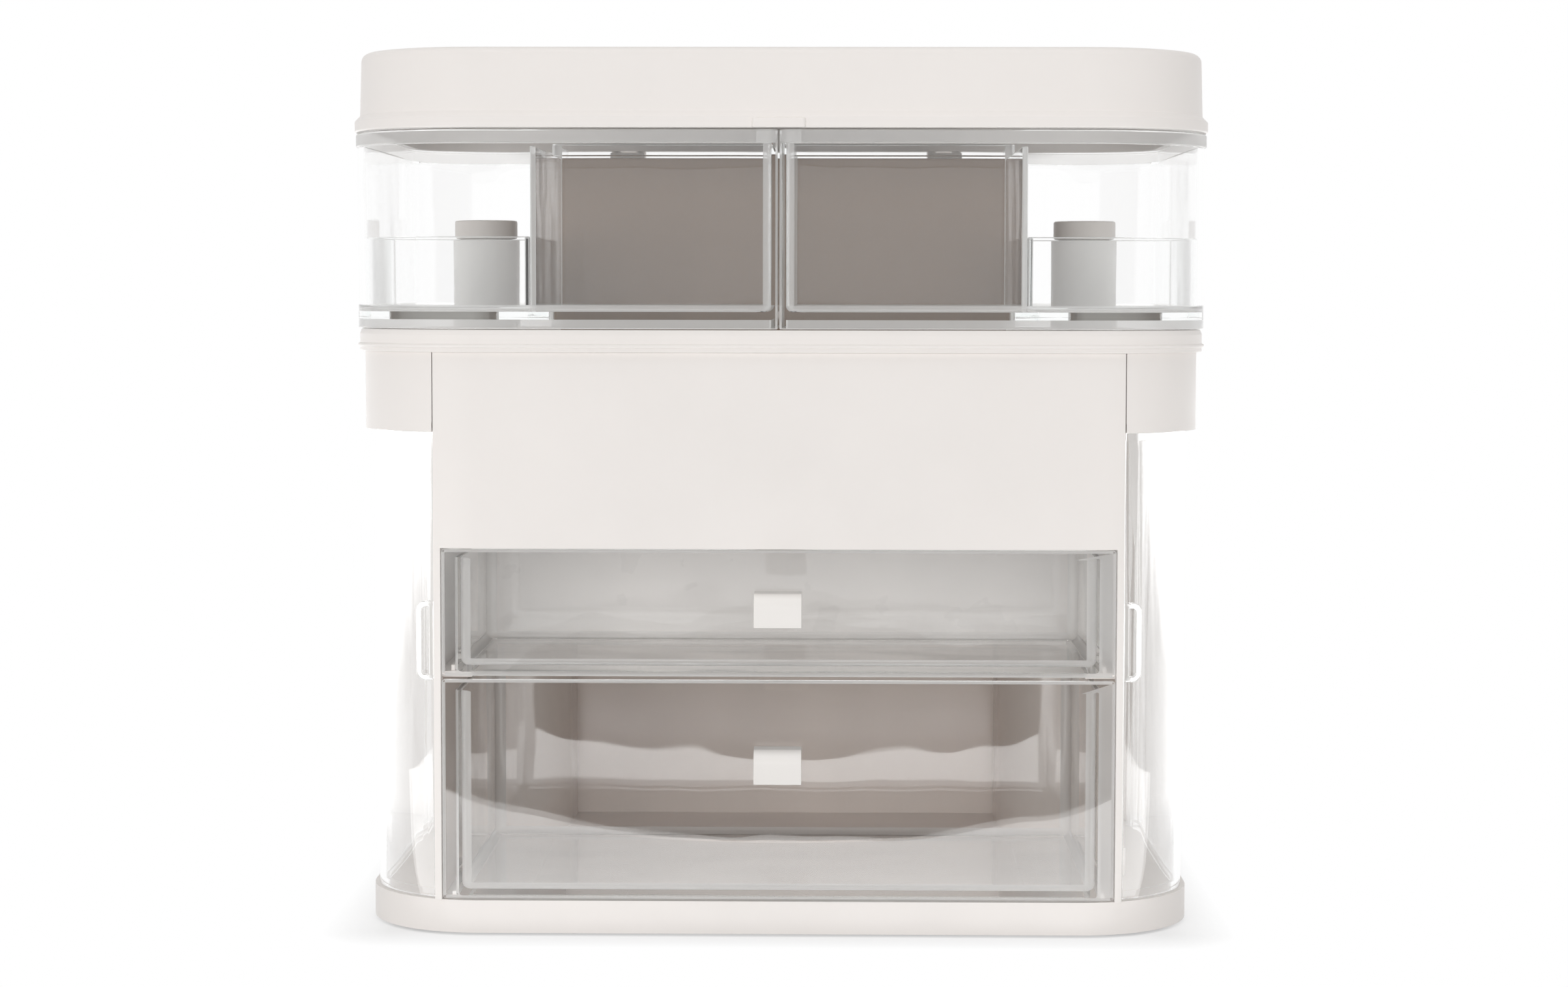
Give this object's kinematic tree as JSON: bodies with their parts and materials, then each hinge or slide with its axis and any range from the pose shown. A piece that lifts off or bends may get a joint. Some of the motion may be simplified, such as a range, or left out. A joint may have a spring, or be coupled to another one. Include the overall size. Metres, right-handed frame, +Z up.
{
  "type": "dustproof makeup organizer",
  "caption": "Lidded cosmetics cabinet with swing-out clear top bins, a deep centre well, clear drawers with hooked pulls and clear curved side doors.",
  "frame": {"origin": "middle of the bounding box, on the table", "axes": "+X to the object's right seen from the front, -Y towards the user, +Z up"},
  "size_m": [0.3404, 0.2329, 0.346],
  "materials": {
    "white_plastic": "satin moulded warm white",
    "light_grey_plastic": "moulded light warm grey",
    "grey_plastic": "matt warm grey",
    "taupe_plastic": "high gloss taupe",
    "clear_plastic": "clear polished",
    "foot_rubber": "matt",
    "magnet_steel": "dark plated",
    "screw_steel": "plated"
  },
  "bodies": {
    "cabinet": {"base_plinth": "white_plastic", "rubber_feet": "foot_rubber", "base_screws": "screw_steel", "bay_liner": "taupe_plastic", "partition_left": "white_plastic", "partition_right": "white_plastic", "runner_frame": "light_grey_plastic", "front_fascia": "white_plastic", "upper_band": "white_plastic", "back_shell": "white_plastic", "back_screws": "screw_steel", "door_pins": "screw_steel", "mid_tray": "white_plastic", "storage_tray": "light_grey_plastic", "centre_well": "taupe_plastic", "pivot_post_left": "light_grey_plastic", "pivot_post_right": "light_grey_plastic", "post_cap_left": "grey_plastic", "post_cap_right": "grey_plastic", "cap_screws": "screw_steel", "hinge_rail": "white_plastic", "hinge_pins": "screw_steel"},
    "lid": {"lid_shell": "white_plastic", "lid_hinge_leaves": "white_plastic", "lid_screws": "screw_steel"},
    "wing_left": {"wing_left_bin": "clear_plastic", "wing_left_divider": "clear_plastic", "wing_left_insert": "clear_plastic", "wing_left_magnet": "magnet_steel"},
    "wing_right": {"wing_right_bin": "clear_plastic", "wing_right_divider": "clear_plastic", "wing_right_insert": "clear_plastic", "wing_right_magnet": "magnet_steel"},
    "lower_drawer": {"lower_drawer": "clear_plastic", "lower_pull": "white_plastic", "lower_pull_screw": "screw_steel"},
    "upper_drawer": {"upper_drawer": "clear_plastic", "upper_pull": "white_plastic", "upper_pull_screw": "screw_steel"},
    "door_left": {"door_left": "clear_plastic"},
    "door_right": {"door_right": "clear_plastic"}
  },
  "joints": [
    {"name": "lid_hinge", "type": "hinge", "parent": "cabinet", "child": "lid", "pos_m": [0, 0.11325, 0.3172], "axis": [-1, 0, 0], "range_deg": [0, 100]},
    {"name": "wing_left_hinge", "type": "hinge", "parent": "cabinet", "child": "wing_left", "pos_m": [-0.1325, 0.07205, 0.26], "axis": [0, 0, -1], "range_deg": [0, 100]},
    {"name": "wing_right_hinge", "type": "hinge", "parent": "cabinet", "child": "wing_right", "pos_m": [0.1325, 0.07205, 0.26], "axis": [0, 0, 1], "range_deg": [0, 100]},
    {"name": "upper_drawer_slide", "type": "slide", "parent": "cabinet", "child": "upper_drawer", "axis": [0, -1, 0], "range_m": [0, 0.08]},
    {"name": "lower_drawer_slide", "type": "slide", "parent": "cabinet", "child": "lower_drawer", "axis": [0, -1, 0], "range_m": [0, 0.108]},
    {"name": "door_left_hinge", "type": "hinge", "parent": "cabinet", "child": "door_left", "pos_m": [-0.1588, 0.07455, 0.1], "axis": [0, 0, -1], "range_deg": [0, 90]},
    {"name": "door_right_hinge", "type": "hinge", "parent": "cabinet", "child": "door_right", "pos_m": [0.1588, 0.07455, 0.1], "axis": [0, 0, 1], "range_deg": [0, 90]}
  ]
}
